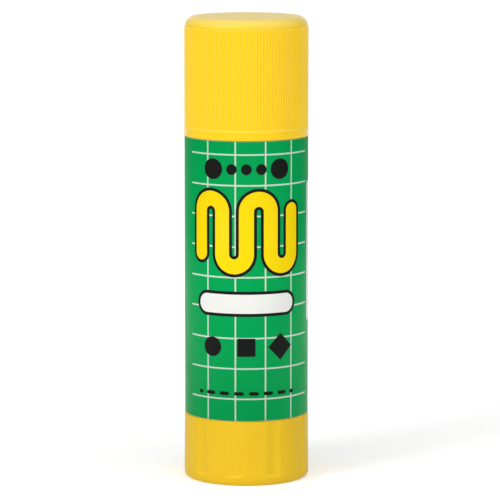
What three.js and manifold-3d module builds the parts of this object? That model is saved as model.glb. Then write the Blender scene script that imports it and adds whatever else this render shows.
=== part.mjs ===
// A twist-up glue stick with its cap on, in millimetres. +Z is up and the front faces -Y.
// The origin is the centre of the foot. Turning the knob turns the spindle, whose left-hand
// thread lifts the carrier and the glue, while ribs in the barrel keep the carrier from turning.
import * as THREE from 'three';
import { mergeGeometries, mergeVertices, toCreasedNormals } from 'three/addons/utils/BufferGeometryUtils.js';
import Module from 'manifold-3d';

// Driving dimensions of the outside, from the photograph and the printed net weight of 35 g.
// The cap and the knob share the radius of the stick, and the label lies just inside it.
const stickRadius = 15;
const labelStep = 0.07;
const capHeight = 28.5;
const bodyHeight = 67.4;
const knobHeight = 15.6;

// Cap: a shell with a rounded shoulder, fine grip grooves and a plug ring that seals the mouth.
const capWall = 1.3;
const capTopWall = 1.3;
const shoulderRun = 2.5;
const shoulderDrop = 3.2;
const gripCount = 120;
const gripWidth = 0.42;
const gripDepth = 0.24;
const gripBottomMargin = 2.2;
const plugWall = 0.9;
const gateRadius = 1.6;
const gateHeight = 0.12;

// Barrel: a recessed panel for the label, a stepped neck for the cap and a floor for the spindle.
const barrelWall = 1.25;
const neckWall = 0.85;
const neckHeadroom = 4.3;
const floorHeight = 3.3;
const floorThickness = 1.1;
const rimHeight = 0.15;
const guideCount = 6;
const guideWidth = 1.2;
const snapHeight = 1.6;
const snapRise = 3.2;
const snapBead = 0.14;

// Label: a printed film wrapped round the panel, with a butt seam at the back.
const labelThickness = 0.15;
const labelSeam = 0.4;

// Glue: cast over the carrier and recessed under the mouth, with a shallow dish in its face.
const glueRecess = 2.5;
const glueEdge = 1.4;
const glueDish = 0.25;

// Carrier: a cup with a threaded hub, four fins that key it to the glue, and a notched flange.
const carrierHeight = 24;
const carrierWall = 0.9;
const carrierFloor = 1.6;
const carrierFlange = 5.9;
const hubHeight = 10;
const hubWall = 1.6;
const finCount = 4;
const finThickness = 1;
const finHeight = 7;

// Spindle: a left-hand thread of coarse lead over a flange, a journal and a hexagonal foot.
const threadMinor = 2.6;
const threadDepth = 1;
const threadLead = 6;
const threadRoot = 2.8;
const threadCrest = 1.3;
const spindleReach = 2.7;
const flangeRadius = 8;
const flangeThickness = 1.1;
const footRadius = 3.6;
const footStep = 0.3;
const footGap = 2.7;

// Knob: a cup with shallow flutes, a spigot that centres it in the barrel and a socketed boss.
const knobFlare = 0.1;
const knobWall = 1.5;
const knobFloor = 1.6;
const knobFillet = 1.2;
const knobChamfer = 0.25;
const footWidth = 2.2;
const footRecess = 0.6;
const fluteCount = 10;
const fluteRadius = 5.1;
const fluteDepth = 0.3;
const fluteLedge = 2.1;
const firstFlute = -10;
const spigotWall = 1.3;
const bossWall = 1.7;
const webCount = 5;
const webThickness = 1;

// Clearances.
const seam = 0.3;
const capFit = 0.2;
const turningFit = 0.07;
const slidingFit = 0.25;
const threadFit = 0.25;
const castFit = 0.2;
const filmFit = 0.03;

// Facets round the outer pieces, the inner pieces, each turn of the thread, a flute and the gate mark.
const outerFacets = 60;
const innerFacets = 40;
const threadFacets = 18;
const fluteFacets = 36;
const gateFacets = 12;

// A round plug in a round bore, both faceted: the largest plug and the smallest bore that clear.
const plugFor = (bore, clearance, facets) => bore * Math.cos(Math.PI / facets) - clearance;
const boreFor = (plug, clearance, facets) => (plug + clearance) / Math.cos(Math.PI / facets);

// Heights from the foot up.
const knobFloorTop = footRecess + knobFloor;
const footBottom = knobFloorTop + footGap;
const barrelBottom = knobHeight + seam;
const barrelFloorBottom = barrelBottom + floorHeight;
const barrelFloorTop = barrelFloorBottom + floorThickness;
const spigotTop = barrelFloorBottom - seam;
const journalBottom = barrelFloorBottom - seam;
const barrelShoulder = barrelBottom + bodyHeight;
const capBottom = barrelShoulder + seam;
const capTop = capBottom + capHeight;
const capCeiling = capTop - capTopWall;
const mouth = capCeiling - neckHeadroom;
const glueTop = mouth - glueRecess;
const flangeBottom = barrelFloorTop + seam;
const flangeTop = flangeBottom + flangeThickness;
const carrierBottom = flangeTop + seam;
const carrierTop = carrierBottom + carrierHeight;
const carrierInside = carrierBottom + carrierFloor;
const hubTop = carrierBottom + hubHeight;
const spindleTop = barrelShoulder + spindleReach;

// Radii from the outside in.
const barrelRadius = stickRadius - labelStep;
const labelInner = barrelRadius - labelThickness;
const panelRadius = labelInner - filmFit;
const barrelBore = panelRadius - barrelWall;
const capBore = stickRadius - capWall;
const neckRadius = plugFor(capBore, capFit, outerFacets);
const neckBore = neckRadius - neckWall;
const carrierRadius = plugFor(neckBore, slidingFit, outerFacets);
const cupBore = carrierRadius - carrierWall;
const carrierFlangeRadius = plugFor(barrelBore, slidingFit, outerFacets);
const glueRadius = plugFor(neckBore, slidingFit + castFit / 2, outerFacets);
const threadMajor = threadMinor + threadDepth;
const hubRadius = threadMajor + threadFit + hubWall;
const plugRadius = plugFor(neckBore, capFit, outerFacets);
const spigotRadius = plugFor(barrelBore, turningFit, outerFacets);
const spigotBore = spigotRadius - spigotWall;
const bossRadius = footRadius + turningFit + bossWall;
const journalRadius = footRadius + footStep;

const wasm = await Module();
wasm.setup();

// Turns a closed three.js geometry into a solid that can be joined and cut.
function solid(geometry) {
  const bare = geometry.clone();
  bare.deleteAttribute('normal');
  bare.deleteAttribute('uv');
  const merged = mergeVertices(bare);
  const source = merged.index.array;
  const kept = [];
  for (let i = 0; i < source.length; i += 3) {
    const [a, b, c] = source.slice(i, i + 3);
    if (a !== b && b !== c && c !== a) kept.push(a, b, c);
  }
  const vertProperties = merged.attributes.position.array;
  const triVerts = new Uint32Array(kept);
  return new wasm.Manifold(new wasm.Mesh({ numProp: 3, vertProperties, triVerts }));
}

// Gives a finished solid back as a mesh with crisp edges.
function piece(name, shape, color, roughness) {
  const { vertProperties, triVerts } = shape.getMesh();
  const geometry = new THREE.BufferGeometry();
  geometry.setAttribute('position', new THREE.BufferAttribute(vertProperties, 3));
  geometry.setIndex(new THREE.BufferAttribute(triVerts, 1));
  const material = new THREE.MeshStandardMaterial({ color, roughness, metalness: 0 });
  const mesh = new THREE.Mesh(toCreasedNormals(geometry, THREE.MathUtils.degToRad(30)), material);
  mesh.name = name;
  return mesh;
}

// Revolves a profile of [radius, height] points about the Z axis. It runs counter-clockwise with
// radius to the right, starts and ends on the axis or is closed here on itself.
function lathe(profile, facets) {
  const points = profile.map(([radius, height]) => new THREE.Vector2(radius, height));
  if (profile[0][0] > 0) points.push(points[0].clone());
  return new THREE.LatheGeometry(points, facets).rotateX(Math.PI / 2);
}

// The same as a solid.
function turned(profile, facets) {
  return solid(lathe(profile, facets));
}

// Points of a quarter ellipse in a profile, from its first to its last angle in degrees.
function arc(centreRadius, centreHeight, run, rise, from, to, steps) {
  return Array.from({ length: steps + 1 }, (_, i) => {
    const angle = THREE.MathUtils.degToRad(from + ((to - from) * i) / steps);
    return [centreRadius + run * Math.cos(angle), centreHeight + rise * Math.sin(angle)];
  });
}

// Copies of a geometry round the Z axis, as one. The angle counts from the front, to the right.
function around(geometry, count, firstDegrees = 0) {
  const copies = Array.from({ length: count }, (_, i) => {
    const angle = THREE.MathUtils.degToRad(firstDegrees + (360 * i) / count);
    return geometry.clone().rotateZ(angle);
  });
  return solid(mergeGeometries(copies));
}

// A plate that stands radially at the front, between two radii and two heights.
function plate(thickness, innerRadius, outerRadius, bottom, top) {
  const box = new THREE.BoxGeometry(thickness, outerRadius - innerRadius, top - bottom);
  return box.translate(0, -(innerRadius + outerRadius) / 2, (bottom + top) / 2);
}

// An upright prism or cylinder between two heights.
function upright(radius, facets, bottom, top) {
  const cylinder = new THREE.CylinderGeometry(radius, radius, top - bottom, facets);
  return cylinder.rotateX(Math.PI / 2).translate(0, 0, (bottom + top) / 2);
}

// A left-hand screw thread round a core, as one closed solid that covers bottom to top. Each column
// of the grid holds the four corners of the ridge, and its fifth is the first of a turn later.
function screw(minor, major, root, crest, bottom, top) {
  const corners = [
    [minor, -root / 2],
    [major, -crest / 2],
    [major, crest / 2],
    [minor, root / 2],
  ];
  const firstTurn = Math.floor(bottom / threadLead) - 1;
  const lastTurn = Math.ceil(top / threadLead) + 1;
  const columns = (lastTurn - firstTurn) * threadFacets;
  const positions = [];
  const addColumn = (i, some) => {
    const turn = firstTurn + i / threadFacets;
    const angle = -2 * Math.PI * turn;
    for (const [radius, offset] of some) {
      positions.push(radius * Math.cos(angle), radius * Math.sin(angle), threadLead * turn + offset);
    }
  };
  for (let i = 0; i <= columns; i += 1) addColumn(i, corners);
  for (let i = 1; i <= threadFacets; i += 1) addColumn(columns + i, corners.slice(0, 1));
  const at = (i, k) => {
    if (k === corners.length) return at(i + threadFacets, 0);
    return i <= columns ? i * corners.length + k : (columns + 1) * corners.length + (i - columns - 1);
  };
  const lowCentre = positions.length / 3;
  positions.push(0, 0, threadLead * firstTurn);
  const highCentre = lowCentre + 1;
  positions.push(0, 0, threadLead * (lastTurn + 1));
  const faces = [];
  for (let i = 0; i < columns; i += 1) {
    for (let k = 0; k < corners.length; k += 1) {
      faces.push(at(i, k), at(i, k + 1), at(i + 1, k));
      faces.push(at(i, k + 1), at(i + 1, k + 1), at(i + 1, k));
    }
  }
  for (let i = 0; i < threadFacets; i += 1) {
    faces.push(lowCentre, at(i, 0), at(i + 1, 0));
    faces.push(highCentre, at(columns + i + 1, 0), at(columns + i, 0));
  }
  for (let k = 0; k < corners.length; k += 1) {
    faces.push(lowCentre, at(0, k + 1), at(0, k));
    faces.push(highCentre, at(columns, k), at(columns, k + 1));
  }
  const geometry = new THREE.BufferGeometry();
  geometry.setAttribute('position', new THREE.Float32BufferAttribute(positions, 3));
  geometry.setIndex(faces);
  return solid(geometry);
}

// One grip groove at the front: a V prism that stands on a ledge and is open at its top, where the
// shoulder curves away from it.
function gripGroove(bottom, top) {
  const outside = stickRadius + seam;
  const spread = (gripWidth / 2) * ((outside - stickRadius + gripDepth) / gripDepth);
  const section = new THREE.Shape();
  section.moveTo(0, -(stickRadius - gripDepth));
  section.lineTo(-spread, -outside);
  section.lineTo(spread, -outside);
  section.closePath();
  const prism = new THREE.ExtrudeGeometry(section, { depth: top - bottom, bevelEnabled: false });
  return prism.translate(0, 0, bottom);
}

function makeCap() {
  const crownRadius = stickRadius - shoulderRun;
  const plugBottom = glueTop + (mouth - glueTop) / 3;
  const grooveHeight = capBottom + snapRise;
  const shell = turned([
    [0, capCeiling],
    [plugRadius - plugWall, capCeiling],
    [plugRadius - plugWall, plugBottom],
    [plugRadius - plugWall / 3, plugBottom],
    [plugRadius, plugBottom + plugWall],
    [plugRadius, capCeiling],
    [capBore, capCeiling],
    [capBore, grooveHeight + snapHeight],
    [capBore + snapBead, grooveHeight + snapHeight / 2],
    [capBore + snapBead, grooveHeight - snapHeight / 2],
    [capBore, grooveHeight - snapHeight],
    [capBore, capBottom + seam],
    [capBore + seam, capBottom],
    [stickRadius, capBottom],
    ...arc(crownRadius, capTop - shoulderDrop, shoulderRun, shoulderDrop, 0, 90, 5),
    [0, capTop],
  ], outerFacets);
  const grooves = around(
    gripGroove(capBottom + gripBottomMargin, capTop),
    gripCount,
    180 / gripCount,
  );
  const gate = turned([
    [0, capTop - gateHeight],
    [gateRadius, capTop - gateHeight],
    [gateRadius, capTop],
    [gateRadius - gateHeight, capTop + gateHeight],
    [0, capTop + gateHeight],
  ], gateFacets);
  return piece('cap', shell.subtract(grooves).add(gate), 0xfed927, 0.38);
}

function makeBarrel() {
  const beadRadius = neckRadius + snapBead;
  const beadHeight = capBottom + snapRise;
  const holeRadius = boreFor(journalRadius, turningFit, innerFacets);
  const neckRoot = barrelShoulder - barrelWall;
  const tube = turned([
    [neckBore, mouth],
    [neckBore, neckRoot],
    [barrelBore, neckRoot - (barrelBore - neckBore) / 3],
    [barrelBore, barrelFloorBottom + floorThickness / 2],
    [barrelBore, barrelBottom],
    [barrelRadius, barrelBottom],
    [barrelRadius, barrelBottom + rimHeight],
    [panelRadius, barrelBottom + rimHeight],
    [panelRadius, barrelShoulder - rimHeight],
    [barrelRadius, barrelShoulder - rimHeight],
    [barrelRadius, barrelShoulder],
    [neckRadius, barrelShoulder],
    [neckRadius, beadHeight - snapHeight / 2],
    [beadRadius, beadHeight - snapHeight / 4],
    [beadRadius, beadHeight + snapHeight / 4],
    [neckRadius, beadHeight + snapHeight / 2],
    [neckRadius, mouth - neckWall / 2],
    [neckRadius - neckWall / 2, mouth],
  ], outerFacets);
  const anchor = (barrelBore + panelRadius) / 2;
  const floor = turned([
    [0, barrelFloorBottom],
    [anchor, barrelFloorBottom],
    [anchor, barrelFloorTop],
    [0, barrelFloorTop],
  ], outerFacets);
  const hole = solid(upright(holeRadius, innerFacets, barrelBottom, barrelShoulder));
  const guides = around(
    plate(
      guideWidth,
      neckBore,
      anchor,
      barrelFloorTop - floorThickness / 2,
      neckRoot + barrelWall / 2,
    ),
    guideCount,
  );
  return piece('barrel', tube.add(floor).subtract(hole).add(guides), 0xf2f1ea, 0.45);
}

function makeLabel() {
  const bottom = barrelBottom + rimHeight + filmFit;
  const top = barrelShoulder - rimHeight - filmFit;
  const halfSeam = THREE.MathUtils.radToDeg(labelSeam / 2 / barrelRadius);
  const step = 360 / outerFacets;
  const angles = [180 + halfSeam];
  for (let angle = 180 + step; angle < 540 - halfSeam; angle += step) angles.push(angle);
  angles.push(540 - halfSeam);
  const edge = (radius) => angles.map((degrees) => {
    const angle = THREE.MathUtils.degToRad(degrees);
    return new THREE.Vector2(radius * Math.sin(angle), -radius * Math.cos(angle));
  });
  const outline = new THREE.Shape([...edge(barrelRadius), ...edge(labelInner).reverse()]);
  const film = new THREE.ExtrudeGeometry(outline, { depth: top - bottom, bevelEnabled: false });
  return piece('label', solid(film.translate(0, 0, bottom)), 0x0a9a54, 0.4);
}

function makeGlue() {
  const stem = cupBore - castFit;
  const bore = threadMajor + seam;
  const collar = hubRadius + castFit;
  const mass = turned([
    [0, spindleTop + seam + bore / 2],
    [bore, spindleTop + seam],
    [bore, hubTop + castFit],
    [collar, hubTop + castFit],
    [collar, carrierInside + castFit],
    [stem, carrierInside + castFit],
    [stem, carrierTop + castFit],
    [glueRadius, carrierTop + castFit],
    ...arc(glueRadius - glueEdge, glueTop - glueEdge, glueEdge, glueEdge, 0, 90, 3),
    [0, glueTop - glueDish],
  ], innerFacets);
  const slots = around(
    plate(
      finThickness + 2 * castFit,
      hubRadius,
      stem + castFit,
      carrierBottom,
      carrierInside + finHeight + castFit,
    ),
    finCount,
    180 / finCount,
  );
  return piece('glue', mass.subtract(slots), 0xf3f0e4, 0.55);
}

function makeCarrier() {
  const cup = turned([
    [0, carrierBottom],
    [carrierFlangeRadius, carrierBottom],
    [carrierFlangeRadius, carrierBottom + carrierFlange],
    [carrierRadius, carrierBottom + carrierFlange],
    [carrierRadius, carrierTop],
    [cupBore, carrierTop],
    [cupBore, carrierInside],
    [hubRadius, carrierInside],
    [hubRadius, hubTop],
    [0, hubTop],
  ], innerFacets);
  const fins = around(
    plate(
      finThickness,
      hubRadius - hubWall / 2,
      cupBore + carrierWall / 2,
      carrierBottom + carrierFloor / 2,
      carrierInside + finHeight,
    ),
    finCount,
    180 / finCount,
  );
  const notches = around(
    plate(
      guideWidth + 2 * slidingFit,
      plugFor(neckBore, slidingFit, innerFacets),
      barrelRadius,
      carrierBottom - seam,
      carrierBottom + carrierFlange + seam,
    ),
    guideCount,
  );
  const nut = screw(
    threadMinor + threadFit,
    threadMajor + threadFit,
    threadRoot + 2 * threadFit,
    threadCrest + 2 * threadFit,
    carrierBottom,
    hubTop,
  );
  return piece('carrier', cup.add(fins).subtract(notches).subtract(nut), 0xe9e8e1, 0.5);
}

function makeSpindle() {
  const threadBottom = flangeBottom + flangeThickness / 2;
  const leadIn = threadDepth;
  const trim = turned([
    [0, threadBottom],
    [threadMajor + leadIn, threadBottom],
    [threadMajor + leadIn, spindleTop - 2 * leadIn],
    [threadMinor - leadIn, spindleTop],
    [0, spindleTop],
  ], innerFacets);
  const thread = screw(threadMinor, threadMajor, threadRoot, threadCrest, threadBottom, spindleTop);
  const journal = turned([
    [0, journalBottom],
    [journalRadius, journalBottom],
    [journalRadius, flangeBottom],
    [flangeRadius, flangeBottom],
    [flangeRadius, flangeBottom + flangeThickness / 2],
    [journalRadius, flangeTop],
    [0, flangeTop],
  ], innerFacets);
  const foot = solid(upright(footRadius, 6, footBottom, journalBottom + seam));
  return piece('spindle', thread.intersect(trim).add(journal).add(foot), 0xe4e4de, 0.45);
}

function makeKnob() {
  const base = stickRadius + knobFlare;
  const footOuter = base - knobFillet;
  const footInner = footOuter - footWidth;
  const inside = stickRadius - knobWall;
  const cup = turned([
    [0, footRecess],
    [footInner - footRecess, footRecess],
    [footInner, 0],
    ...arc(footOuter, knobFillet, knobFillet, knobFillet, -90, 0, 4),
    [stickRadius, knobHeight - knobChamfer],
    [stickRadius - knobChamfer, knobHeight],
    [spigotRadius, knobHeight],
    [spigotRadius, spigotTop - spigotWall / 3],
    [spigotRadius - spigotWall / 3, spigotTop],
    [spigotBore, spigotTop],
    [spigotBore, knobHeight - spigotWall],
    [inside, knobHeight - 2 * spigotWall],
    [inside, knobFloorTop],
    [0, knobFloorTop],
  ], outerFacets);
  const floorMiddle = knobFloorTop - knobFloor / 2;
  const boss = solid(upright(bossRadius, innerFacets, floorMiddle, journalBottom - seam));
  const webs = around(
    plate(
      webThickness,
      bossRadius - bossWall / 2,
      inside + knobWall / 2,
      floorMiddle,
      knobHeight - 4 * spigotWall,
    ),
    webCount,
  );
  const socket = solid(upright(footRadius + turningFit, 6, footBottom - seam, journalBottom));
  const fluteCentre = stickRadius - fluteDepth + fluteRadius;
  const cutter = lathe([
    [0, fluteLedge],
    [fluteRadius - fluteDepth, fluteLedge],
    [fluteRadius, fluteLedge + fluteDepth],
    [fluteRadius, knobHeight + seam],
    [0, knobHeight + seam],
  ], fluteFacets);
  const flutes = around(cutter.translate(0, -fluteCentre, 0), fluteCount, firstFlute);
  return piece('knob', cup.add(boss).add(webs).subtract(socket).subtract(flutes), 0xf4cb2a, 0.4);
}

const glueStick = new THREE.Group();
glueStick.add(makeKnob(), makeSpindle(), makeBarrel(), makeLabel(), makeCarrier(), makeGlue(), makeCap());

export default glueStick;
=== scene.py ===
# %% [markdown]
# A twist-up glue stick, dressed in Blender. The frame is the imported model: its pieces, their
# places and the bodies they ride on. The stick could be modelled here from nothing, but loading
# the frame keeps one set of places for every tool. This lesson models the surfaces that show, one
# after the other, and gives each the finish of the real thing. Everything is in metres, +Z is up
# and the front of the stick faces -Y.

# %% Load the frame
import math

import bmesh
import bpy
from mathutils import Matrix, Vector


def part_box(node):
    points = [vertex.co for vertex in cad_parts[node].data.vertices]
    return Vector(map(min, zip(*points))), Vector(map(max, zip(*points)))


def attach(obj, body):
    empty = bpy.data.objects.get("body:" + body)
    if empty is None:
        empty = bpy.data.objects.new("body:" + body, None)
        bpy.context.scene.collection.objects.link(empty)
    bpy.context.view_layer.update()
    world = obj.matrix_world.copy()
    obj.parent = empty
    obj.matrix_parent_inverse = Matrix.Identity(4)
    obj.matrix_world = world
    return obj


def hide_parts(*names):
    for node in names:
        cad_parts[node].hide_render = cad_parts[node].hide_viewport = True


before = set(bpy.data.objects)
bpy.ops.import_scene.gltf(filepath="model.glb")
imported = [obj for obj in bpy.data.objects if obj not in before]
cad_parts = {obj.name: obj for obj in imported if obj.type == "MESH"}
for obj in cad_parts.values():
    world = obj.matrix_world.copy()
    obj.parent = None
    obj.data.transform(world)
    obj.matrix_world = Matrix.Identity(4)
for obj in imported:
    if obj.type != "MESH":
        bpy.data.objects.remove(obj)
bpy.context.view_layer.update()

# %% [markdown]
# The sizes come from the frame. They could be typed in as numbers, but then the surfaces would no
# longer fit once the model changes. A node's box gives its ends and its radius, so each new
# surface ends where the piece that it stands for ends. Only the running gap at the cap and at the
# knob, SEAM, is closed to a hairline, SEATED, as a pressed-on part leaves it. What the boxes don't
# say, such as a wall or a fillet, is a named value beside the piece that needs it.

# %% Sizes
MM = 0.001
cap_low, cap_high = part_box("cap")
knob_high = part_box("knob")[1]
barrel_low, barrel_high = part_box("barrel")
label_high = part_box("label")[1]
glue_low, glue_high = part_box("glue")
carrier_low, carrier_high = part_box("carrier")
spindle_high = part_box("spindle")[1]

SEAM = 0.3 * MM
SEATED = 0.1 * MM
RADIUS = cap_high.x
LABEL_RADIUS = label_high.x
GATE_HEIGHT = 0.12 * MM
CAP_TOP = cap_high.z - GATE_HEIGHT
SHOULDER = cap_low.z - SEAM
CAP_BOTTOM = SHOULDER + SEATED
MOUTH = barrel_high.z
BARREL_BOTTOM = barrel_low.z
KNOB_TOP = BARREL_BOTTOM - SEATED
GLUE_TOP = glue_high.z
print(f"stick {2 * RADIUS / MM:.1f} mm across, {CAP_TOP / MM:.1f} mm tall, knob {KNOB_TOP / MM:.1f} mm")

# %% [markdown]
# Most of a glue stick is turned: each moulding is a profile spun round one axis. Cylinders could be
# stacked, or a curve given a Screw modifier. By hand the plainest way is a single vertex, extruded
# point by point through the profile and then spun, which leaves a mesh with even columns. The same
# few steps make every piece here, so they are one helper. Arcs in a profile come from a formula.

# %% Profiles and spinning
MERGE_WITHIN = 0.002 * MM


def arc(centre, run, rise, first, last, steps):
    """Points of an ellipse about centre, from the first to the last angle in degrees."""
    points = []
    for i in range(steps + 1):
        angle = math.radians(first + (last - first) * i / steps)
        points.append((centre[0] + run * math.cos(angle), centre[1] + rise * math.sin(angle)))
    return points


def turned(name, profile, columns):
    """Spins a closed profile of (radius, height) points round the Z axis and leaves it in edit mode."""
    bpy.ops.object.select_all(action="DESELECT")
    bpy.ops.mesh.primitive_plane_add(size=MM, location=(0, 0, 0))
    piece = bpy.context.object
    piece.name = piece.data.name = name
    bpy.ops.object.mode_set(mode="EDIT")
    bpy.ops.mesh.select_all(action="SELECT")
    bpy.ops.mesh.merge(type="CENTER")
    bpy.ops.transform.translate(value=(profile[0][0], 0, profile[0][1]))
    for (r0, z0), (r1, z1) in zip(profile, profile[1:]):
        bpy.ops.mesh.extrude_vertices_move(TRANSFORM_OT_translate={"value": (r1 - r0, 0, z1 - z0)})
    bpy.ops.mesh.select_all(action="SELECT")
    bpy.ops.mesh.remove_doubles(threshold=MERGE_WITHIN)
    bpy.ops.mesh.select_all(action="SELECT")
    bpy.ops.mesh.spin(steps=columns, angle=2 * math.pi, center=(0, 0, 0), axis=(0, 0, 1))
    bpy.ops.mesh.select_all(action="SELECT")
    bpy.ops.mesh.remove_doubles(threshold=MERGE_WITHIN)
    bpy.ops.mesh.normals_make_consistent(inside=False)
    return piece


def finished(piece, smooth_degrees):
    """Leaves edit mode with smooth shading between faces that meet at less than the angle."""
    bpy.ops.object.mode_set(mode="OBJECT")
    bpy.ops.object.shade_smooth_by_angle(angle=math.radians(smooth_degrees))
    print(piece.name, len(piece.data.vertices), "vertices", len(piece.data.polygons), "faces")
    return piece


print("a quarter arc:", [(round(r, 2), round(z, 2)) for r, z in arc((0, 0), 1, 1, 0, 90, 2)])

# %% [markdown]
# Grip grooves and flutes give the fingers hold on a smooth moulding. Each could be cut out with a
# Boolean, but 120 of those are slow and leave ragged faces. The columns of a spun mesh lie at equal
# angles, so the same column of every groove is picked together and scaled towards the axis instead.
# A groove has an upright floor, given as its radius at each column across it. Only what stands
# outside that floor moves, so a groove ends by itself where the surface draws in.


# %% Pressing grooves
def press(piece, columns, count, first_degrees, floor, low):
    """Presses grooves into the outside of a piece, from the height low up. The floor holds a radius
    for each column across one groove, which is repeated count times from the first angle, right of
    the front."""
    mesh = bmesh.from_edit_mesh(piece.data)
    period = columns // count
    first = round(first_degrees * columns / 360) - len(floor) // 2
    rings = {}
    for vertex in mesh.verts:
        radius = math.hypot(vertex.co.x, vertex.co.y)
        column = round(math.atan2(vertex.co.x, -vertex.co.y) * columns / (2 * math.pi))
        place = (column - first) % period
        if vertex.co.z > low and place < len(floor) and radius > floor[place]:
            rings.setdefault((place, round(radius / MM, 3)), []).append(vertex)
    for (place, radius), ring in rings.items():
        bpy.ops.mesh.select_all(action="DESELECT")
        for vertex in ring:
            vertex.select = True
        mesh.select_flush_mode()
        bmesh.update_edit_mesh(piece.data)
        shrink = floor[place] / (radius * MM)
        bpy.ops.transform.resize(value=(shrink, shrink, 1), center_override=(0, 0, 0))
    bpy.ops.mesh.select_all(action="DESELECT")
    print(piece.name, count, "grooves pressed in", len(rings), "moves")


# %% [markdown]
# The cap is a yellow polypropylene moulding: a rounded shoulder, a flat crown with the mark of the
# gate, 120 fine grip ribs, and a smooth band at the rim. The ribs stand proud of the shoulder, with
# small sloping tops that catch the light, and end on a ledge above the band. Inside are the bore
# for the neck and the plug ring that seals the mouth. Ribs this fine could be a bump in the finish,
# but their tops show against the shoulder, so they are modelled: a rib and its groove take six
# columns, and the spin has 720.

# %% Cap
CAP_WALL = 1.3 * MM
CROWN_RUN = 2.5 * MM
GRIPS = 120
GRIP_COLUMNS = 6 * GRIPS
GRIP_DEPTH = 0.12 * MM
GRIP_FOOT = CAP_BOTTOM + 2.2 * MM
GRIP_HEAD = CAP_TOP - 2.4 * MM
GROOVE_SHARES = (0.1, 0.6, 1, 0.6, 0.1)
RIB_TOP = 0.14 * MM
RIB_RADIUS = RADIUS - 0.05 * MM
EDGE = 0.18 * MM
PLUG_RADIUS = 12.2 * MM
PLUG_WALL = 0.9 * MM
PLUG_BOTTOM = MOUTH - 1.6 * MM
GATE_RADIUS = 1.6 * MM

cap_ceiling = CAP_TOP - CAP_WALL
cap_bore = RADIUS - CAP_WALL
crown_radius = RADIUS - CROWN_RUN
cap_profile = [
    (0, cap_ceiling),
    (PLUG_RADIUS - PLUG_WALL, cap_ceiling),
    (PLUG_RADIUS - PLUG_WALL, PLUG_BOTTOM),
    (PLUG_RADIUS - PLUG_WALL / 3, PLUG_BOTTOM),
    (PLUG_RADIUS, PLUG_BOTTOM + PLUG_WALL),
    (PLUG_RADIUS, cap_ceiling),
    (cap_bore, cap_ceiling),
    (cap_bore, CAP_BOTTOM + 2 * EDGE),
    (cap_bore + 2 * EDGE, CAP_BOTTOM),
    *arc((RADIUS - EDGE / 2, CAP_BOTTOM + EDGE / 2), EDGE / 2, EDGE / 2, -90, 0, 4),
    *arc((RADIUS - EDGE, GRIP_FOOT - EDGE), EDGE, EDGE, 0, 40, 3),
    (RIB_RADIUS, GRIP_FOOT),
    (RIB_RADIUS, GRIP_FOOT + EDGE / 2),
    (RIB_RADIUS, GRIP_FOOT + EDGE),
    (RIB_RADIUS, GRIP_HEAD - RIB_TOP - EDGE),
    *arc((RIB_RADIUS - RIB_TOP, GRIP_HEAD - RIB_TOP), RIB_TOP, RIB_TOP, 0, 60, 3),
    *arc((crown_radius, GRIP_HEAD), RIB_RADIUS - RIB_TOP - crown_radius, CAP_TOP - GRIP_HEAD, 0, 90, 16),
    (GATE_RADIUS + 4 * GATE_HEIGHT, CAP_TOP),
    (GATE_RADIUS, CAP_TOP),
    (GATE_RADIUS - GATE_HEIGHT, CAP_TOP + GATE_HEIGHT),
    (0, CAP_TOP + GATE_HEIGHT),
]
cap_shell = turned("cap_shell", cap_profile, GRIP_COLUMNS)
groove = [RIB_RADIUS - share * GRIP_DEPTH for share in GROOVE_SHARES]
press(cap_shell, GRIP_COLUMNS, GRIPS, 180 / GRIPS, groove, GRIP_FOOT + EDGE / 4)
cap_shell = finished(cap_shell, smooth_degrees=35)

# %% [markdown]
# The knob is moulded in the same yellow. It has ten shallow flutes that open at its top edge, a
# thin chamfer, a slight draft and a rounded foot. The foot is a flat ring round a recessed middle,
# so that the stick stands firmly. Inside are the spigot that snaps into the barrel and the boss
# with the socket for the spindle. All of it but the flutes is one spun profile.

# %% Knob
KNOB_BASE = knob_high.x
KNOB_COLUMNS = 360
KNOB_WALL = 1.5 * MM
KNOB_FILLET = 1.2 * MM
KNOB_CHAMFER = 0.25 * MM
FOOT_WIDTH = 2.2 * MM
FOOT_RECESS = 0.6 * MM
KNOB_FLOOR = 2.2 * MM
SPIGOT_RADIUS = 13.35 * MM
SPIGOT_WALL = 1.3 * MM
BOSS_RADIUS = 5.37 * MM
SOCKET_RADIUS = 3.7 * MM
SOCKET_BOTTOM = 4.6 * MM
FLUTE_LEDGE = 2.0 * MM
FLUTE_RAMP = 0.7 * MM
RAMP_STEPS = ((0.15, 0.07), (0.3, 0.2), (0.6, 0.55), (1, 1))

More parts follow.
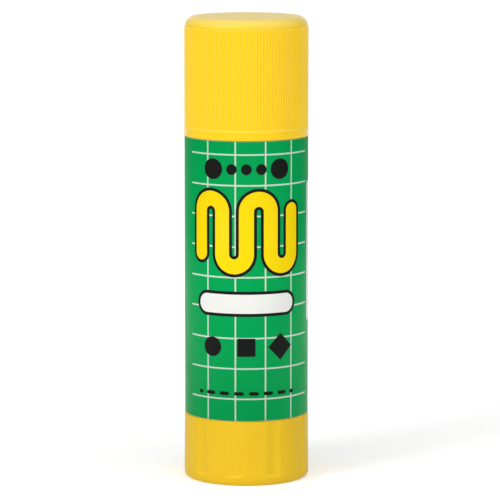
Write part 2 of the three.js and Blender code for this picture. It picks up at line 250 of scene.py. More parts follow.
foot_outer = KNOB_BASE - KNOB_FILLET
foot_inner = foot_outer - FOOT_WIDTH
knob_inside = RADIUS - KNOB_WALL
spigot_top = knob_high.z
ramp_rings = [-0.3, 0, *[rise for rise, share in RAMP_STEPS], 1.3]
knob_profile = [
    (0, FOOT_RECESS + 2 * GATE_HEIGHT),
    (GATE_RADIUS / 2, FOOT_RECESS + 2 * GATE_HEIGHT),
    (GATE_RADIUS, FOOT_RECESS),
    (foot_inner - 1.5 * FOOT_RECESS, FOOT_RECESS),
    (foot_inner - FOOT_RECESS / 2, FOOT_RECESS / 3),
    (foot_inner, 0),
    *arc((foot_outer, KNOB_FILLET), KNOB_FILLET, KNOB_FILLET, -90, 0, 10),
    *[(KNOB_BASE, FLUTE_LEDGE + rise * FLUTE_RAMP) for rise in ramp_rings],
    (RADIUS + (KNOB_BASE - RADIUS) / 2, KNOB_TOP / 2),
    (RADIUS, KNOB_TOP - KNOB_CHAMFER),
    (RADIUS - KNOB_CHAMFER, KNOB_TOP),
    (SPIGOT_RADIUS, KNOB_TOP),
    (SPIGOT_RADIUS, spigot_top - SPIGOT_WALL / 3),
    (SPIGOT_RADIUS - SPIGOT_WALL / 3, spigot_top),
    (SPIGOT_RADIUS - SPIGOT_WALL, spigot_top),
    (SPIGOT_RADIUS - SPIGOT_WALL, KNOB_TOP - SPIGOT_WALL),
    (knob_inside, KNOB_TOP - 2 * SPIGOT_WALL),
    (knob_inside, KNOB_FLOOR),
    (BOSS_RADIUS, KNOB_FLOOR),
    (BOSS_RADIUS, spigot_top - SEAM),
    (SOCKET_RADIUS, spigot_top - SEAM),
    (SOCKET_RADIUS, SOCKET_BOTTOM),
    (0, SOCKET_BOTTOM),
]
knob_grip = turned("knob_grip", knob_profile, KNOB_COLUMNS)
print("knob spun from", len(knob_profile), "points")

# %% [markdown]
# The flutes are round in plan and run out over a short ramp above the base, as the cutter of the
# mould left them. The ramps could be bevelled one by one. Pressed in steps, each a share of the way
# from the surface to the floor of the flute, they come out alike on all ten at once. A flute's
# place and reach are in degrees, because a column of the knob is one degree wide.

# %% Flutes
FLUTES = 10
FIRST_FLUTE = -10
FLUTE_REACH = 7
FLUTE_RADIUS = 5.1 * MM
FLUTE_DEPTH = 0.3 * MM
JUST_UNDER = 0.05


def flute_floor(degrees):
    """The radius of a round flute's floor, so many degrees from its middle."""
    centre = RADIUS - FLUTE_DEPTH + FLUTE_RADIUS
    across = centre * math.sin(math.radians(degrees))
    return centre * math.cos(math.radians(degrees)) - math.sqrt(FLUTE_RADIUS**2 - across**2)


flute = [flute_floor(degrees) for degrees in range(-FLUTE_REACH, FLUTE_REACH + 1)]
for rise, share in RAMP_STEPS:
    ramp = [KNOB_BASE + share * (floor - KNOB_BASE) for floor in flute]
    low = FLUTE_LEDGE + (rise - JUST_UNDER) * FLUTE_RAMP
    press(knob_grip, KNOB_COLUMNS, FLUTES, FIRST_FLUTE, ramp, low)
knob_grip = finished(knob_grip, smooth_degrees=30)

# %% [markdown]
# The barrel is a pale, slightly milky tube. At rest only a hairline of its rim shows between the
# cap and the label, but with the cap off the neck with its snap bead and the mouth are in view. A
# plain tube with a bevel would do at rest. Its lips and its bead are arcs in the profile instead,
# which keep their round shape when they are seen from close.

# %% Barrel
LABEL_RECESS = 0.18 * MM
PANEL_RADIUS = LABEL_RADIUS - LABEL_RECESS
RIM_HEIGHT = 0.05 * MM
BARREL_WALL = 1.25 * MM
NECK_RADIUS = 13.46 * MM
NECK_WALL = 0.85 * MM
BEAD_HEIGHT = CAP_BOTTOM + 3.2 * MM
BEAD_RISE = 0.14 * MM
BEAD_HALF = 0.8 * MM
FLOOR_BOTTOM = BARREL_BOTTOM + 3.3 * MM
FLOOR_TOP = FLOOR_BOTTOM + 1.1 * MM
FLOOR_HOLE = 4.0 * MM
BARREL_COLUMNS = 300

barrel_bore = PANEL_RADIUS - BARREL_WALL
neck_bore = NECK_RADIUS - NECK_WALL
neck_root = SHOULDER - BARREL_WALL
guide_top = neck_root - (barrel_bore - neck_bore) / 3
guide_foot = FLOOR_TOP + SEAM
lip = NECK_WALL * 0.45
barrel_profile = [
    (LABEL_RADIUS - EDGE, BARREL_BOTTOM),
    (LABEL_RADIUS, BARREL_BOTTOM + EDGE / 2),
    (LABEL_RADIUS, BARREL_BOTTOM + RIM_HEIGHT),
    (PANEL_RADIUS, BARREL_BOTTOM + RIM_HEIGHT),
    (PANEL_RADIUS, SHOULDER - RIM_HEIGHT),
    (LABEL_RADIUS, SHOULDER - RIM_HEIGHT),
    (LABEL_RADIUS, SHOULDER - EDGE / 2),
    (LABEL_RADIUS - EDGE, SHOULDER),
    (NECK_RADIUS + EDGE, SHOULDER),
    (NECK_RADIUS, SHOULDER + EDGE),
    (NECK_RADIUS, BEAD_HEIGHT - BEAD_HALF),
    *arc((NECK_RADIUS, BEAD_HEIGHT), BEAD_RISE, BEAD_HALF, -75, 75, 6),
    (NECK_RADIUS, BEAD_HEIGHT + BEAD_HALF),
    *arc((NECK_RADIUS - lip, MOUTH - lip), lip, lip, 0, 90, 5),
    *arc((neck_bore + lip, MOUTH - lip), lip, lip, 90, 180, 5),
    (neck_bore, neck_root),
    (barrel_bore, guide_top),
    (barrel_bore, guide_foot),
    (barrel_bore, FLOOR_TOP),
    (FLOOR_HOLE, FLOOR_TOP),
    (FLOOR_HOLE, FLOOR_BOTTOM),
    (barrel_bore, FLOOR_BOTTOM),
    (barrel_bore, BARREL_BOTTOM),
    (LABEL_RADIUS - EDGE, BARREL_BOTTOM),
]
barrel_tube = turned("barrel_tube", barrel_profile, BARREL_COLUMNS)
print("barrel spun from", len(barrel_profile), "points")

# %% [markdown]
# Six guide ribs stand in the bore, where the notches of the carrier slide on them, so that the glue
# can't turn with the knob. They could be six boxes joined on, but drawn out of the wall they leave
# the barrel one closed skin: the faces of each rib are extruded, and the new faces are scaled
# towards the axis, as far as the bore of the neck.

# %% Guide ribs
GUIDES = 6
GUIDE_HALF_DEGREES = 2.4

bpy.ops.mesh.select_mode(type="FACE")
bpy.ops.mesh.select_all(action="DESELECT")
barrel_mesh = bmesh.from_edit_mesh(barrel_tube.data)
for face in barrel_mesh.faces:
    middle = face.calc_center_median()
    degrees = math.degrees(math.atan2(middle.x, -middle.y))
    aside = degrees - 360 / GUIDES * round(degrees * GUIDES / 360)
    in_bore = guide_foot < middle.z < guide_top and abs(middle.xy.length - barrel_bore) < EDGE
    face.select = in_bore and abs(aside) < GUIDE_HALF_DEGREES
bmesh.update_edit_mesh(barrel_tube.data)
print("guide faces:", sum(face.select for face in barrel_mesh.faces))
bpy.ops.mesh.extrude_region_move()
draw_in = neck_bore / barrel_bore
bpy.ops.transform.resize(value=(draw_in, draw_in, 1), center_override=(0, 0, 0))
bpy.ops.mesh.select_mode(type="VERT")
barrel_tube = finished(barrel_tube, smooth_degrees=35)

# %% [markdown]
# The label is a printed film wrapped once round the barrel, with a butt seam at the back. It could
# be a colour on the barrel, but a real film has ends and a seam that show, so it is a piece of its
# own: one upright edge, spun almost all the way round.

# %% Label
LABEL_BOTTOM = BARREL_BOTTOM + RIM_HEIGHT
LABEL_TOP = SHOULDER - RIM_HEIGHT
LABEL_SEAM = math.radians(0.7)
LABEL_COLUMNS = 240

bpy.ops.object.select_all(action="DESELECT")
bpy.ops.mesh.primitive_plane_add(size=MM, location=(0, 0, 0))
label_film = bpy.context.object
label_film.name = label_film.data.name = "label_film"
bpy.ops.object.mode_set(mode="EDIT")
bpy.ops.mesh.select_all(action="SELECT")
bpy.ops.mesh.merge(type="CENTER")
start = math.pi / 2 + LABEL_SEAM / 2
first = Vector((LABEL_RADIUS * math.cos(start), LABEL_RADIUS * math.sin(start), LABEL_BOTTOM))
bpy.ops.transform.translate(value=first)
bpy.ops.mesh.extrude_vertices_move(TRANSFORM_OT_translate={"value": (0, 0, LABEL_TOP - LABEL_BOTTOM)})
bpy.ops.mesh.select_all(action="SELECT")
bpy.ops.mesh.spin(steps=LABEL_COLUMNS, angle=2 * math.pi - LABEL_SEAM, center=(0, 0, 0), axis=(0, 0, 1))
label_film = finished(label_film, smooth_degrees=30)
print("label spun through", [round(c, 4) for c in label_film.dimensions])

# %% [markdown]
# A skin of no thickness looks wrong at its edges. A second wall could be spun and bridged to the
# first, but Solidify does both in one step: it grows the film inwards, and applying it leaves plain
# mesh. The outer face stays exactly where the frame has it.

# %% Film thickness
FILM = 0.15 * MM

bpy.ops.object.modifier_add(type="SOLIDIFY")
label_film.modifiers["Solidify"].thickness = FILM
label_film.modifiers["Solidify"].offset = -1
bpy.ops.object.modifier_apply(modifier="Solidify")
print("label film", len(label_film.data.polygons), "faces")

# %% [markdown]
# The glue is a waxy rod with a rounded edge. It hides under the cap at rest and stands proud of
# the mouth when the knob is turned. Its face keeps the shallow dish of the mould, and a few soft
# rings of casting run round its side. They could be a bump, but they show in the outline of the
# rod, so the profile has small swells in it. Below, it narrows to fill the cup of the carrier,
# round the hub, and its core is hollow for the spindle.

# %% Glue
GLUE_RADIUS = glue_high.x
GLUE_STEM = 11.2 * MM
GLUE_BOTTOM = glue_low.z
CAST_GAP = 0.2 * MM
CUP_TOP = carrier_high.z + CAST_GAP
HUB_HEIGHT = 10 * MM
HUB_TOP = carrier_low.z + HUB_HEIGHT + CAST_GAP
HUB_BORE = 5.7 * MM
SPINDLE_BORE = 3.9 * MM
SPINDLE_TOP = spindle_high.z + SEAM
GLUE_EDGE = 1.4 * MM
GLUE_DISH = 0.25 * MM
RING_SWELL = 0.05 * MM
RING_STEPS = 40


def glue_side(step):
    """A point on the side of the glue, on soft casting rings of three unlike spacings."""
    share = step / RING_STEPS
    height = CUP_TOP + (GLUE_TOP - GLUE_EDGE - CUP_TOP) * share
    swell = math.sin(17 * share) + math.sin(41 * share + 1) + math.sin(73 * share + 2)
    return (GLUE_RADIUS - RING_SWELL + RING_SWELL * swell / 3, height)


glue_profile = [
    (0, SPINDLE_TOP + SPINDLE_BORE / 2),
    (SPINDLE_BORE, SPINDLE_TOP),
    (SPINDLE_BORE, HUB_TOP),
    (HUB_BORE, HUB_TOP),
    (HUB_BORE, GLUE_BOTTOM),
    (GLUE_STEM, GLUE_BOTTOM),
    (GLUE_STEM, CUP_TOP),
    *[glue_side(step) for step in range(RING_STEPS + 1)],
    *arc((GLUE_RADIUS - GLUE_EDGE, GLUE_TOP - GLUE_EDGE), GLUE_EDGE - RING_SWELL, GLUE_EDGE, 8, 90, 10),
    (GLUE_RADIUS * 0.7, GLUE_TOP - GLUE_DISH * 0.5),
    (GLUE_RADIUS * 0.4, GLUE_TOP - GLUE_DISH * 0.9),
    (0, GLUE_TOP - GLUE_DISH),
]
glue_rod = finished(turned("glue_rod", glue_profile, columns=160), smooth_degrees=40)

# %% [markdown]
# Materials are node trees. Each node could be added and linked in lines of its own, but shader
# maths reads best as plain expressions. This class wraps one socket: adding, multiplying or taking
# its absolute value adds the Math node that does it.


# %% Shader values
class Value:
    """A socket of a material. Arithmetic on it adds Math nodes and gives the next socket."""

    def __init__(self, paint, socket):
        self.paint = paint
        self.socket = socket

    def math(self, operation, *others):
        return self.paint.node("ShaderNodeMath", {"operation": operation}, [self, *others])

    def __add__(self, other):
        return self.math("ADD", other)

    __radd__ = __add__

    def __sub__(self, other):
        return self.math("SUBTRACT", other)

    def __rsub__(self, other):
        return self.paint.node("ShaderNodeMath", {"operation": "SUBTRACT"}, [other, self])

    def __mul__(self, other):
        return self.math("MULTIPLY", other)

    __rmul__ = __mul__

    def __truediv__(self, other):
        return self.math("DIVIDE", other)

    def __abs__(self):
        return self.math("ABSOLUTE")

    def least(self, other):
        return self.math("MINIMUM", other)

    def most(self, other):
        return self.math("MAXIMUM", other)

    def clamped(self):
        return self.least(1).most(0)


def length(across, up):
    """How long a vector is, from its two components."""
    return (across * across + up * up).math("SQRT")


# %% [markdown]
# Node trees are built by one small class, for the materials and for the sky alike, so that no finish
# repeats how a node is added. Its method adds any node from its type, its settings and what its
# sockets hold, either values or other sockets. A material is such a tree with a Principled shader.


# %% Node trees
class Nodes:
    """A node tree under construction."""

    def __init__(self, tree):
        self.tree = tree

    def node(self, kind, settings=None, values=(), output=0):
        node = self.tree.nodes.new(kind)
        for name, setting in (settings or {}).items():
            setattr(node, name, setting)
        pairs = values.items() if isinstance(values, dict) else enumerate(values)
        for key, value in pairs:
            self.plug(node.inputs[key], value)
        return Value(self, node.outputs[output])

    def plug(self, socket, value):
        if isinstance(value, Value):
            self.tree.links.new(value.socket, socket)
        else:
            socket.default_value = value

    def mix(self, share, first, second):
        return self.node("ShaderNodeMix", {"data_type": "RGBA"}, {0: share, 6: first, 7: second}, 2)

    def axes(self, place):
        return [self.node("ShaderNodeSeparateXYZ", {}, [place], axis) for axis in "XYZ"]


class Paint(Nodes):
    """A material with a Principled shader. Constants go on the shader's own sockets."""

    def __init__(self, name, **constants):
        self.material = bpy.data.materials.new(name)
        self.material.use_nodes = True
        super().__init__(self.material.node_tree)
        self.shader = self.tree.nodes["Principled BSDF"]
        for socket, value in constants.items():
            self.shader.inputs[socket.replace("_", " ")].default_value = value
        self.place = self.node("ShaderNodeTexCoord", output="Object")

    def noise(self, per_mm, detail=2.0, stretch=(1, 1, 1)):
        """Noise from 0 to 1 with so many blobs a millimetre, stretched along the axes."""
        scale = [per_mm * share / MM for share in stretch]
        place = self.node("ShaderNodeMapping", {}, {"Vector": self.place, "Scale": scale})
        return self.node("ShaderNodeTexNoise", {}, {"Vector": place, "Scale": 1.0, "Detail": detail})

    def surface(self, color, roughness, relief, depth):
        """Plugs what varies into the shader. The relief goes through a Bump node of that depth."""
        self.plug(self.shader.inputs["Base Color"], color)
        self.plug(self.shader.inputs["Roughness"], roughness)
        bump = self.node("ShaderNodeBump", {}, {"Strength": 1.0, "Distance": depth, "Height": relief})
        self.plug(self.shader.inputs["Normal"], bump)
        return self.material


# %% [markdown]
# The yellow of the cap and the knob is one polypropylene: saturated, satin, a little translucent,
# so light blurs under the skin. One even colour would look like paint. So the colour drifts slightly
# with the flow of the melt, fine texture from the steel breaks the gloss, and handling has left
# faint rub marks on the sides. What only one of the two mouldings has comes from a function that
# gets the shared colour and roughness.


# %% Yellow plastic
def srgb(red, green, blue):
    """The linear colour of an sRGB colour given from 0 to 255."""
    def linear(level):
        share = level / 255
        return share / 12.92 if share <= 0.04045 else ((share + 0.055) / 1.055) ** 2.4
    return (linear(red), linear(green), linear(blue), 1.0)


def yellow_plastic(name, bright, deep, satin, marked):
    """The yellow between two colours, with a base roughness and the marks of one moulding."""
    paint = Paint(name, Subsurface_Weight=0.1, Subsurface_Scale=0.8 * MM, Specular_IOR_Level=0.12)
    paint.shader.inputs["Subsurface Radius"].default_value = (1.0, 0.9, 0.2)
    flow = paint.noise(0.12, 3, (1, 1, 0.25))
    speck = paint.noise(4, 2)
    scuff = ((paint.noise(0.9, 4, (1, 1, 0.35)) - 0.62) * 6).clamped()
    color = paint.mix(flow, bright, deep)
    color, roughness = marked(paint, color, satin + 0.05 * flow + 0.1 * scuff)
    return paint.surface(color, roughness, speck, 0.0015 * MM)


# %% [markdown]
# On the cap, a painted sheen makes the crests of the ribs paler than the grooves between them, and
# painted highlights make them palest at their heads and on the ledge. A painted reflection makes the
# shoulder and the crown paler, the crown is duller, and the mark of the gate on it is dullest and is
# painted a stronger yellow in place of the reflection. The sheen, the highlights and the reflection
# could be painted on by hand, but they follow the shape, so they come from masks that are worked out
# from the same sizes.

# %% Cap finish
SKIN = 4 * EDGE
CROWN_EDGE = 0.3 * MM
CREST_HALF = 0.25
CREST_FADE = 4
# How strong the painted highlight on the ledge is, against the one on the rib heads.
LEDGE_HIGHLIGHT = 0.6
CROWN_DULL = 0.16
GATE_DULL = 0.3
GROOVE_YELLOW = srgb(238, 195, 0)
# The three yellows after the groove's paint light: a sheen on the crests, highlights on the heads and
# the ledge, and a reflection on the shoulder and the crown.
CREST_SHEEN_YELLOW = srgb(237, 197, 50)
HIGHLIGHT_YELLOW = srgb(246, 222, 120)
REFLECTION_YELLOW = srgb(240, 213, 118)
GATE_YELLOW = srgb(252, 222, 84)


def cap_marks(paint, color, roughness):
    x, y, z = paint.axes(paint.place)
    radius = length(x, y)
    outside = ((radius - RADIUS + SKIN) / EDGE).clamped()
    ribs = ((z - GRIP_FOOT) / EDGE).clamped() * ((GRIP_HEAD - z) / EDGE).clamped() * outside
    turn = x.math("ARCTAN2", -1 * y) * (GRIPS / (2 * math.pi))
    aside = abs(turn - turn.math("ROUND"))
    crest = (0.5 + (CREST_HALF - aside) * CREST_FADE).clamped()
    # Painted sheen: the crests of the ribs are paler than the grooves.
    color = paint.mix(ribs, color, paint.mix(crest, GROOVE_YELLOW, CREST_SHEEN_YELLOW))
    # Painted highlights on the heads of the ribs and on the ledge.
    heads = ribs * crest * (1 - abs(z - GRIP_HEAD + EDGE) / EDGE).clamped()
    ledge = (1 - abs(z - GRIP_FOOT) / EDGE).clamped() * outside
    color = paint.mix(heads.most(LEDGE_HIGHLIGHT * ledge), color, HIGHLIGHT_YELLOW)
    # Painted reflection: the shoulder and the crown turn paler towards the top.
    painted_reflection = ((z - GRIP_HEAD) / (CAP_TOP - GRIP_HEAD)).clamped()
    color = paint.mix(painted_reflection, color, REFLECTION_YELLOW)
    crown = ((z - CAP_TOP) / CROWN_EDGE + 1).clamped()
    gate = ((GATE_RADIUS - radius) / GATE_HEIGHT).clamped() * crown
    # On the gate the painted reflection gives way to a stronger yellow.
    color = paint.mix(gate, color, GATE_YELLOW)
    return color, roughness + CROWN_DULL * crown + GATE_DULL * gate


cap_yellow = yellow_plastic("cap_yellow", srgb(236, 197, 28), srgb(234, 194, 24), 0.17, cap_marks)
print("cap finish has", len(cap_yellow.node_tree.nodes), "nodes")

# %% [markdown]
# On the knob, the feet of the flutes are painted paler, as a painted highlight where their ramps face
# up into the light. Below them the base is painted darker towards the foot, as painted shade near the
# floor. Here too the masks are worked out from the sizes of the flutes, and land on all ten.

# %% Knob finish
FLUTE_FADE = 3
RAMP_REACH = 1.4
DARK_REACH = 1.2
# These two yellows paint a highlight on the flute feet and shade towards the foot.
FLUTE_FOOT_HIGHLIGHT = srgb(225, 187, 36)
SHADED_BASE_YELLOW = srgb(203, 167, 25)


def knob_marks(paint, color, roughness):
    x, y, z = paint.axes(paint.place)
    turn = (x.math("ARCTAN2", -1 * y) - math.radians(FIRST_FLUTE)) * (FLUTES / (2 * math.pi))
    aside = abs(turn - turn.math("ROUND")) * (360 / FLUTES)
    along = 2 * abs(z - FLUTE_LEDGE - FLUTE_RAMP / 2) / FLUTE_RAMP
    # Painted highlight on the ramps at the feet of the flutes.
    foot = ((FLUTE_REACH - aside) / FLUTE_FADE).clamped() * (RAMP_REACH - along).clamped()
    color = paint.mix(foot, color, FLUTE_FOOT_HIGHLIGHT)
    # Painted shade: the base darkens towards the foot, near the floor.
    foot_shade = (DARK_REACH - z / FLUTE_LEDGE).clamped()
    return paint.mix(foot_shade, color, SHADED_BASE_YELLOW), roughness


# The knob's yellows are given darker than the cap's: painted shade, as the knob stands lower and gets
# less light.
shaded_knob_yellow = yellow_plastic("shaded_knob_yellow", srgb(217, 179, 31), srgb(213, 174, 27), 0.4, knob_marks)
print("knob finish has", len(shaded_knob_yellow.node_tree.nodes), "nodes")

# %% [markdown]
# The barrel, the carrier and the spindle are natural polypropylene: milky white with a waxy sheen.
# Plain white would look like paper, so light goes a little way in, and the tone and the sheen drift
# with the flow of the melt.


# %% White plastic
def white_plastic(name):
    paint = Paint(name, Subsurface_Weight=0.15, Subsurface_Scale=1.2 * MM, IOR=1.49)
    paint.shader.inputs["Subsurface Radius"].default_value = (1.0, 0.95, 0.85)
    flow = paint.noise(0.15, 3, (1, 1, 0.2))
    speck = paint.noise(5, 2)
    color = paint.mix(flow, srgb(222, 221, 213), srgb(214, 213, 204))
    return paint.surface(color, 0.34 + 0.12 * flow, speck, 0.004 * MM)


milky_white = white_plastic("milky_white")
print("white plastic has", len(milky_white.node_tree.nodes), "nodes")

# %% [markdown]
# Solid glue is a soap gel: ivory white, dull where it dried and faintly glossy where it is fresh.
# Fine drag marks run across its face, and its side has soft pits. Both are too shallow to model, so
# they are a bump made of noise, which is stretched for the drag marks.


# %% Glue finish
def glue_finish():
    paint = Paint("waxy_glue", Subsurface_Weight=0.35, Subsurface_Scale=2 * MM, IOR=1.44)
    paint.shader.inputs["Subsurface Radius"].default_value = (1.0, 0.92, 0.75)
    cloud = paint.noise(0.3, 4)
    drag = paint.noise(1.2, 3, (0.25, 1.6, 1))
    pits = ((paint.noise(1.6, 1) - 0.66) * 5).clamped()
    color = paint.mix(cloud, srgb(228, 225, 211), srgb(220, 214, 196))
    return paint.surface(color, 0.42 + 0.2 * drag, 0.5 * drag + 0.3 * cloud - pits, 0.05 * MM)


waxy_glue = glue_finish()
print("glue finish has", len(waxy_glue.node_tree.nodes), "nodes")

# %% [markdown]
# The label is printed film: green ink with faint clouds, a grid of fine white rules, and motifs in
# yellow, black and white. It could be an image wrapped round the film, but print that is worked out
# stays sharp from close and needs no file. All of it is in millimetres on the unrolled label: how
# far round from the front, and how high. A shape is a signed distance, less than 0 inside, and ink
# is where that distance falls under 0, with an edge as soft as print.

# %% Print tools
PRINT_RADIUS = LABEL_RADIUS / MM
INK_EDGE = 0.06


def inked(distance):
    """1 inside a shape and 0 outside, from its signed distance in millimetres."""
    return (0.5 - distance / INK_EDGE).clamped()


def round_to(degrees):
    """How many millimetres round the label an angle from the front is."""
    return math.radians(degrees) * PRINT_RADIUS


def rounded_box(across, up, half_width, half_height, corner):
    side = (abs(across) - (half_width - corner)).most(0)
    rise = (abs(up) - (half_height - corner)).most(0)
    return length(side, rise) - corner


print(f"label is {round_to(360):.1f} mm round and {(LABEL_TOP - LABEL_BOTTOM) / MM:.1f} mm high")

# %% [markdown]
# The grid has nine level rules and four upright ones. Each rule could be a box of its own, but a
# level rule is every place whose height is near a whole number of pitches below the first, so one
# wrapped distance draws all nine. The white panel on the side is one rounded box.

# %% Label grid
GRID_PITCH = 7.35
FIRST_RULE = 80.1
RULE_COUNT = 9
RULE_HALF = 0.18
RULE_MARGIN = 1
GRID_LEFT = round_to(-60.3)
GRID_RIGHT = round_to(70.6)
UPRIGHTS = [round_to(degrees) for degrees in (-38.0, -10.2, 17.8, 45.7)]
PANEL_LEFT = round_to(75.5)
PANEL_RIGHT = round_to(165)
PANEL_LOW = 38.7
PANEL_HIGH = 72.6
PANEL_CORNER = 0.6


def grid_rules(across, up):
    down = (FIRST_RULE - up) / GRID_PITCH
    level = abs(down - down.math("ROUND")) * GRID_PITCH - RULE_HALF
    half_width = (GRID_RIGHT - GRID_LEFT) / 2
    half_height = GRID_PITCH * (RULE_COUNT - 1) / 2
    ends = abs(across - (GRID_LEFT + GRID_RIGHT) / 2) - half_width
    top_and_foot = abs(up - (FIRST_RULE - half_height)) - half_height - RULE_MARGIN
    grid = level.most(ends).most(top_and_foot)
    for place in UPRIGHTS:
        grid = grid.least(abs(across - place) - RULE_HALF)
    return grid


def side_panel(across, up):
    from_middle = across - (PANEL_LEFT + PANEL_RIGHT) / 2
    from_centre = up - (PANEL_LOW + PANEL_HIGH) / 2
    half_width = (PANEL_RIGHT - PANEL_LEFT) / 2
    half_height = (PANEL_HIGH - PANEL_LOW) / 2
    return rounded_box(from_middle, from_centre, half_width, half_height, PANEL_CORNER)


print("grid of", RULE_COUNT, "level and", len(UPRIGHTS), "upright rules")

# %% [markdown]
# The motifs stand in rows down the front, each worked out from its own middle: dots, a thick
# squiggle of glue, a bar, three small shapes and a dashed line. Each could be traced as a curve, but
# what is the same on both sides, or repeats, is folded or wrapped onto one part and drawn once.

# %% Label motifs
FAR = 100
SQUIGGLE_BEND = 3.0
SQUIGGLE_LEG = 5.1
SQUIGGLE_HALF = 1.8
BAR_WIDE = 12.4
BAR_TALL = 2.3
SMALL_DOT = 1.3
SMALL_DOT_PLACE = 3.6
LARGE_DOT = 2.5
LARGE_DOT_PLACE = 8.4
SHAPE_PLACE = 8.6
DISC = 2.4
SQUARE = 2.2
SQUARE_CORNER = 0.3
DIAMOND = 3.3
DASH_PITCH = 3.6
DASH_WIDE = 1.2
DASH_TALL = 0.45
DASHES_WIDE = 12.6


def squiggle(across, up, bend, leg):
    """Distance from a line that winds up and down in five legs, joined by four round bends. It
    looks the same turned by half a turn, so the left half is folded onto the right half."""
    side = across.math("SIGN")
    right = abs(across)
    rise = up * side
    above = (rise - leg).most(0)
    below = (-leg - rise).most(0)
    over = rise.math("GREATER_THAN", leg) * FAR
    under = rise.math("LESS_THAN", -leg) * FAR
    top_bend = abs(length(right - bend, above) - bend) + under
    low_bend = abs(length(right - 3 * bend, below) - bend) + over
    left_bend = abs(length(right + bend, below) - bend) + over
    loose_end = length(right - 4 * bend, rise - leg)
    return top_bend.least(low_bend).least(left_bend).least(loose_end)


def dot_row(across, up):
    aside = abs(across)
    small = length(across, up).least(length(aside - SMALL_DOT_PLACE, up)) - SMALL_DOT
    large = length(aside - LARGE_DOT_PLACE, up) - LARGE_DOT
    return small.least(large)


def shape_row(across, up):
    disc = length(across + SHAPE_PLACE, up) - DISC
    square = rounded_box(across, up, SQUARE, SQUARE, SQUARE_CORNER)
    diamond = (abs(across - SHAPE_PLACE) + abs(up) - DIAMOND) * math.sqrt(0.5)
    return disc.least(square).least(diamond)


def dash_row(across, up):
    place = abs((across / DASH_PITCH).math("FRACT") - 0.5) * DASH_PITCH
    dash = rounded_box(place, up, DASH_WIDE, DASH_TALL, DASH_TALL)
    return dash.most(abs(across) - DASHES_WIDE)


print(f"squiggle {8 * SQUIGGLE_BEND + 2 * SQUIGGLE_HALF:.1f} mm wide, bar {2 * BAR_WIDE:.1f} mm wide")

# %% [markdown]
# Ink is laid on as a printer does it: the green first, the rules and the panel over it, and the
# motifs last. A motif with an outline is laid on twice, first grown and in black, then in its own
# colour. The film is glossy, but the ink dulls it unevenly.

# %% Printed label
DOTS_HEIGHT = 76.6
SQUIGGLE_HEIGHT = 61.4
BAR_HEIGHT = 44.3
SHAPES_HEIGHT = 33.8
DASHES_HEIGHT = 22.6
OUTLINE = 0.75
PRINT_WOBBLE = 0.05
CLOUD_SHARE = 0.35
RULE_COVER = 0.84
INK_GREEN = srgb(0, 153, 77)
CLOUD_GREEN = srgb(2, 144, 82)
RULE_WHITE = srgb(208, 218, 208)
PANEL_WHITE = srgb(216, 218, 216)
BAR_WHITE = srgb(222, 222, 218)
INK_BLACK = srgb(24, 26, 24)
INK_YELLOW = srgb(232, 202, 12)


def printed_film():
    paint = Paint("printed_film", IOR=1.45, Specular_IOR_Level=0.04)
    x, y, z = paint.axes(paint.place)
    wobble = (paint.noise(2.5, 2) - 0.5) * PRINT_WOBBLE
    across = x.math("ARCTAN2", -1 * y) * PRINT_RADIUS + wobble
    up = z / MM + wobble
    color = paint.mix(paint.noise(0.4, 3) * CLOUD_SHARE, INK_GREEN, CLOUD_GREEN)
    color = paint.mix(inked(grid_rules(across, up)) * RULE_COVER, color, RULE_WHITE)
    color = paint.mix(inked(side_panel(across, up)), color, PANEL_WHITE)

    stroke = squiggle(across, up - SQUIGGLE_HEIGHT, SQUIGGLE_BEND, SQUIGGLE_LEG) - SQUIGGLE_HALF
    color = paint.mix(inked(stroke - OUTLINE), color, INK_BLACK)
    color = paint.mix(inked(stroke), color, INK_YELLOW)
    bar = rounded_box(across, up - BAR_HEIGHT, BAR_WIDE, BAR_TALL, BAR_TALL)
    color = paint.mix(inked(bar - OUTLINE), color, INK_BLACK)
    color = paint.mix(inked(bar), color, BAR_WHITE)
    dark = dot_row(across, up - DOTS_HEIGHT).least(shape_row(across, up - SHAPES_HEIGHT))
    dark = dark.least(dash_row(across, up - DASHES_HEIGHT))
    color = paint.mix(inked(dark), color, INK_BLACK)

    return paint.surface(color, 0.3 + 0.1 * paint.noise(0.5, 3), paint.noise(0.35, 2), 0.02 * MM)


label_print = printed_film()
print("label print has", len(label_print.node_tree.nodes), "nodes")

# %% [markdown]
# Each new piece now takes its finish, hides the CAD node that it stands for, and rides on the body
# that carries that node, so that it moves with it when a joint is posed. The carrier and the spindle
# hardly show, so they keep their CAD shapes and only get a finish.


# %% Dress the frame
def dress(piece, node, body, material):
    piece.data.materials.clear()
    piece.data.materials.append(material)
    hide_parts(node)
    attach(piece, body)


dress(cap_shell, "cap", "cap", cap_yellow)
dress(knob_grip, "knob", "knob", shaded_knob_yellow)
dress(barrel_tube, "barrel", "barrel", milky_white)
dress(label_film, "label", "barrel", label_print)
dress(glue_rod, "glue", "carrier", waxy_glue)
for node in ("carrier", "spindle"):
    for material_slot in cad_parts[node].material_slots:
        material_slot.material = milky_white
print("pieces dressed")

# %% [markdown]
# The stage is a wide pale floor that glows faintly, as the lit table of a product photograph does.
# It is far wider than the stick, so that its edge never shows.

# %% Floor
FLOOR_SIZE = 12
FLOOR_GLOW = 0.4

bpy.ops.object.select_all(action="DESELECT")
bpy.ops.mesh.primitive_plane_add(size=FLOOR_SIZE, location=(0, 0, 0))
studio_floor = bpy.context.object
studio_floor.name = "studio_floor"
floor_paint = Paint("pale_floor", Emission_Strength=FLOOR_GLOW)
floor_tone = floor_paint.mix(floor_paint.noise(0.01, 2), srgb(236, 236, 236), srgb(240, 240, 240))
floor_paint.plug(floor_paint.shader.inputs["Emission Color"], floor_tone)
studio_floor.data.materials.append(floor_paint.surface(floor_tone, 0.9, 0.5, 0.001 * MM))
print("floor", studio_floor.dimensions.x, "m wide")

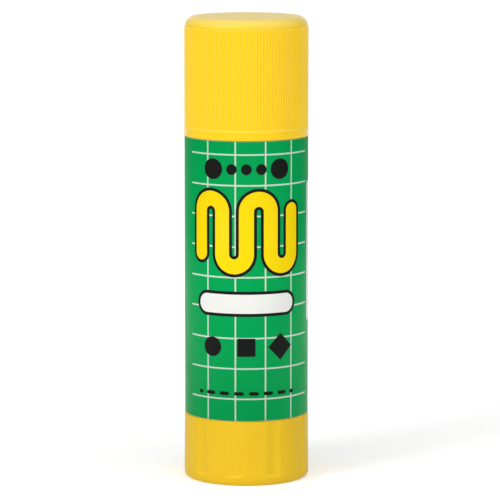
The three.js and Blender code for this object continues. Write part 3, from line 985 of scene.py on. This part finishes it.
# %% [markdown]
# Lamps could light the stick, but all the light comes from the sky, which needs no places or sizes
# and has no hard edges: a faint light from everywhere, a broad glow from the front and above, as
# from a diffuser, a smaller and brighter one on the left, as from a soft box, a weak one on the
# right that lifts the shaded side, and a pale backdrop behind. A glow is given as its direction,
# its narrowness and its strength, and falls off with the angle from its middle.

# %% Light
SKY_DIM = 0.1
BACKDROP = 0.8
BACKDROP_EDGE = 0.6
BACKDROP_FADE = 3
DIFFUSER = ((0, -0.64, 0.77), 2, 1.28)
SOFT_BOX = ((-0.635, -0.636, 0.438), 80, 15)
SIDE_PANEL = ((0.8, -0.53, 0.28), 6, 0.73)

world = bpy.data.worlds.new("studio")
world.use_nodes = True
sky = Nodes(world.node_tree)
sky_x, sky_y, sky_z = sky.axes(sky.node("ShaderNodeTexCoord", output="Generated"))


def glow(toward, narrowness, strength):
    """Light from round one direction, weaker with the angle from it."""
    facing = (sky_x * toward[0] + sky_y * toward[1] + sky_z * toward[2]).most(0)
    return facing.math("POWER", narrowness) * strength


backdrop = ((sky_y - BACKDROP_EDGE) * BACKDROP_FADE).clamped() * BACKDROP
sky_tone = SKY_DIM + backdrop + glow(*DIFFUSER) + glow(*SOFT_BOX) + glow(*SIDE_PANEL)
sky.plug(sky.tree.nodes["Background"].inputs["Color"], sky_tone)
bpy.context.scene.world = world
bpy.context.scene.view_settings.view_transform = "Standard"
print("sky has", len(sky.tree.nodes), "nodes")

# %% [markdown]
# The camera looks as the photograph's did: from well back and a little above, with a long lens. A
# short lens from close could frame the stick as well, but it would draw its upright sides together
# towards the foot.

# %% Camera
CAMERA_PLACE = Vector((0, -0.8, 0.1678))
CAMERA_AIM = Vector((0.00087, 0, 0.0553))
CAMERA_LENS = 240

bpy.ops.object.camera_add(location=CAMERA_PLACE)
camera = bpy.context.object
camera.name = "photo_camera"
camera.rotation_euler = (CAMERA_AIM - CAMERA_PLACE).to_track_quat("-Z", "Y").to_euler()
camera.data.lens = CAMERA_LENS
camera.data.clip_start = 0.01
bpy.context.scene.camera = camera
print("camera at", [round(c, 4) for c in camera.location])

# %% [markdown]
# Last, the script says that the scene is built.

# %% Done
print("scene built")
